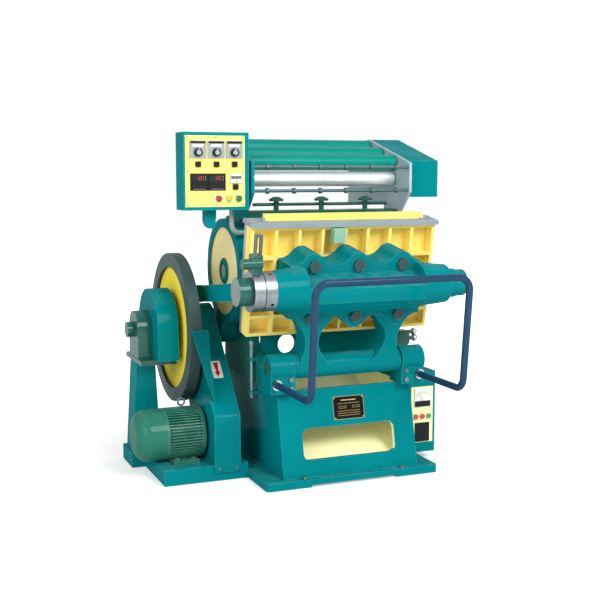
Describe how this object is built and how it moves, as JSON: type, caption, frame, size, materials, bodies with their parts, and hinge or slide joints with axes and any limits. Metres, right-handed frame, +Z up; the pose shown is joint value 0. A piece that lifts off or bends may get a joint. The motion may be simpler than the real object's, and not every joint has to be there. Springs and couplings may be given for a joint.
{
  "type": "platen die cutting and foil stamping press",
  "caption": "Floor-standing platen press for die cutting and hot-foil stamping: rocking ribbed platen, fixed heated bed, crank drive with flywheel and belt, foil feed and push-back safety bar.",
  "frame": {"origin": "on the floor, at the centre of the four anchor holes in the base flange", "axes": "+X to the operator's right, +Y away from the operator, +Z up"},
  "size_m": [1.588, 1.5598, 1.687],
  "materials": {
    "teal_paint": "gloss enamel",
    "yellow_paint": "gloss enamel",
    "cream_paint": "satin enamel",
    "dark_green_paint": "satin enamel",
    "motor_paint": "satin enamel",
    "flywheel_iron": "painted cast iron",
    "machined_steel": "machined",
    "chrome": "polished",
    "dark_steel": "dull",
    "bar_blue": "gloss enamel",
    "belt_rubber": "matt",
    "foil": "metallised film on a core",
    "pale_green_paint": "satin enamel",
    "instrument_black": "matt",
    "conduit_grey": "ribbed",
    "button_red": "gloss",
    "button_yellow": "gloss",
    "button_green": "gloss"
  },
  "bodies": {
    "frame": {"base_casting": "teal_paint", "side_frames": "dark_green_paint", "tie_beams": "teal_paint", "fixed_bed": "dark_green_paint", "heating_plate": "machined_steel", "chase_clamps": "dark_green_paint", "pivot_blocks": "teal_paint", "bushes": "machined_steel", "motor_base": "teal_paint", "motor_body": "motor_paint", "motor_fan_cover": "motor_paint", "belt_guard": "teal_paint", "drive_belts": "belt_rubber", "outboard_post": "teal_paint", "outboard_bearing": "dark_green_paint", "clutch_guard": "teal_paint", "gear_guards": "teal_paint", "left_feed_plate": "teal_paint", "right_feed_plate": "machined_steel", "feed_cover": "teal_paint", "foil_guide_rods": "machined_steel", "control_box": "teal_paint", "control_panel": "yellow_paint", "panel_instruments": "instrument_black", "electrical_cabinet": "teal_paint", "cabinet_panel": "cream_paint", "frame_bolts": "dark_steel", "control_conduit": "conduit_grey"},
    "platen": {"platen_carrier": "teal_paint", "pivot_shaft": "dark_green_paint", "platen_casting": "yellow_paint", "platen_face": "machined_steel", "platen_rail": "machined_steel", "carrier_bolts": "dark_steel", "catch_box": "pale_green_paint"},
    "throw_off": {"saddle_shaft": "machined_steel", "throw_off_lever": "chrome"},
    "rods": {"connecting_rods": "teal_paint"},
    "crank": {"crankshaft": "machined_steel", "bull_gears": "cream_paint"},
    "pinion": {"pinion_shaft": "machined_steel"},
    "flywheel": {"flywheel": "flywheel_iron", "driven_pulley": "flywheel_iron"},
    "motor_rotor": {"motor_rotor": "machined_steel"},
    "safety_bar": {"safety_bar": "bar_blue"},
    "clamp_bar": {"clamp_bar": "yellow_paint"},
    "feed_roller": {"feed_roller": "chrome"},
    "foil_roll_upper": {"foil_roll_upper": "foil"},
    "foil_roll_middle": {"foil_roll_middle": "foil"},
    "foil_roll_lower": {"foil_roll_lower": "foil"},
    "temperature_dial_1": {"temperature_dial_1": "instrument_black"},
    "temperature_dial_2": {"temperature_dial_2": "instrument_black"},
    "temperature_dial_3": {"temperature_dial_3": "instrument_black"},
    "heater_switch_1": {"heater_switch_1": "instrument_black"},
    "heater_switch_2": {"heater_switch_2": "instrument_black"},
    "heater_switch_3": {"heater_switch_3": "instrument_black"},
    "counter_switch": {"counter_switch": "instrument_black"},
    "stop_button": {"stop_button": "button_red"},
    "jog_button": {"jog_button": "button_yellow"},
    "start_button": {"start_button": "button_green"}
  },
  "joints": [
    {"name": "platen_rock", "type": "hinge", "parent": "frame", "child": "platen", "pos_m": [0, -0.355, 0.57], "axis": [1, 0, 0], "range_deg": [-10, 30]},
    {"name": "throw_off_turn", "type": "hinge", "parent": "platen", "child": "throw_off", "pos_m": [0, -0.51998, 0.96201], "axis": [1, 0, 0], "range_deg": [0, 55]},
    {"name": "rods_swing", "type": "hinge", "parent": "platen", "child": "rods", "pos_m": [0, -0.51998, 0.96201], "axis": [1, 0, 0], "range_deg": [-23, 8]},
    {"name": "crank_turn", "type": "hinge", "parent": "frame", "child": "crank", "pos_m": [0, 0.153, 0.995], "axis": [1, 0, 0], "range_deg": [-67, 23]},
    {"name": "pinion_turn", "type": "hinge", "parent": "frame", "child": "pinion", "pos_m": [0, 0.27701, 0.7], "axis": [1, 0, 0], "range_deg": [-77, 228]},
    {"name": "flywheel_spin", "type": "hinge", "parent": "frame", "child": "flywheel", "pos_m": [0, 0.27701, 0.7], "axis": [1, 0, 0], "continuous": true},
    {"name": "motor_spin", "type": "hinge", "parent": "frame", "child": "motor_rotor", "pos_m": [0, -0.01, 0.21], "axis": [1, 0, 0], "continuous": true},
    {"name": "safety_bar_push", "type": "slide", "parent": "frame", "child": "safety_bar", "axis": [0, 1, 0], "range_m": [0, 0.03], "stiffness_N_per_m": 800, "springref_m": -0.01},
    {"name": "clamp_bar_flip", "type": "hinge", "parent": "platen", "child": "clamp_bar", "pos_m": [0, -0.35739, 1.28038], "axis": [1, 0, 0], "range_deg": [0, 70]},
    {"name": "feed_roller_spin", "type": "hinge", "parent": "frame", "child": "feed_roller", "pos_m": [0, -0.035, 1.466], "axis": [1, 0, 0], "continuous": true},
    {"name": "foil_roll_lower_spin", "type": "hinge", "parent": "frame", "child": "foil_roll_lower", "pos_m": [0, -0.049, 1.549], "axis": [1, 0, 0], "continuous": true},
    {"name": "foil_roll_middle_spin", "type": "hinge", "parent": "frame", "child": "foil_roll_middle", "pos_m": [0, 0.103, 1.59], "axis": [1, 0, 0], "continuous": true},
    {"name": "foil_roll_upper_spin", "type": "hinge", "parent": "frame", "child": "foil_roll_upper", "pos_m": [0, 0.255, 1.631], "axis": [1, 0, 0], "continuous": true},
    {"name": "temperature_dial_1_turn", "type": "hinge", "parent": "frame", "child": "temperature_dial_1", "pos_m": [-0.698, -0.213, 1.592], "axis": [0, -1, 0], "range_deg": [-135, 135]},
    {"name": "temperature_dial_2_turn", "type": "hinge", "parent": "frame", "child": "temperature_dial_2", "pos_m": [-0.608, -0.213, 1.592], "axis": [0, -1, 0], "range_deg": [-135, 135]},
    {"name": "temperature_dial_3_turn", "type": "hinge", "parent": "frame", "child": "temperature_dial_3", "pos_m": [-0.518, -0.213, 1.592], "axis": [0, -1, 0], "range_deg": [-135, 135]},
    {"name": "heater_switch_1_press", "type": "slide", "parent": "frame", "child": "heater_switch_1", "axis": [0, 1, 0], "range_m": [0, 0.003], "stiffness_N_per_m": 400, "springref_m": -0.002},
    {"name": "heater_switch_2_press", "type": "slide", "parent": "frame", "child": "heater_switch_2", "axis": [0, 1, 0], "range_m": [0, 0.003], "stiffness_N_per_m": 400, "springref_m": -0.002},
    {"name": "heater_switch_3_press", "type": "slide", "parent": "frame", "child": "heater_switch_3", "axis": [0, 1, 0], "range_m": [0, 0.003], "stiffness_N_per_m": 400, "springref_m": -0.002},
    {"name": "counter_switch_press", "type": "slide", "parent": "frame", "child": "counter_switch", "axis": [0, 1, 0], "range_m": [0, 0.003], "stiffness_N_per_m": 400, "springref_m": -0.002},
    {"name": "stop_button_press", "type": "slide", "parent": "frame", "child": "stop_button", "axis": [0, 1, 0], "range_m": [0, 0.004], "stiffness_N_per_m": 400, "springref_m": -0.002},
    {"name": "jog_button_press", "type": "slide", "parent": "frame", "child": "jog_button", "axis": [0, 1, 0], "range_m": [0, 0.004], "stiffness_N_per_m": 400, "springref_m": -0.002},
    {"name": "start_button_press", "type": "slide", "parent": "frame", "child": "start_button", "axis": [0, 1, 0], "range_m": [0, 0.004], "stiffness_N_per_m": 400, "springref_m": -0.002}
  ],
  "couplings": [
    {"joint": "crank_turn", "follows": "platen_rock", "ratio": -2.2},
    {"joint": "rods_swing", "follows": "platen_rock", "ratio": -0.75},
    {"joint": "pinion_turn", "follows": "platen_rock", "ratio": 7.5778},
    {"joint": "motor_spin", "follows": "flywheel_spin", "ratio": 1.5833}
  ]
}
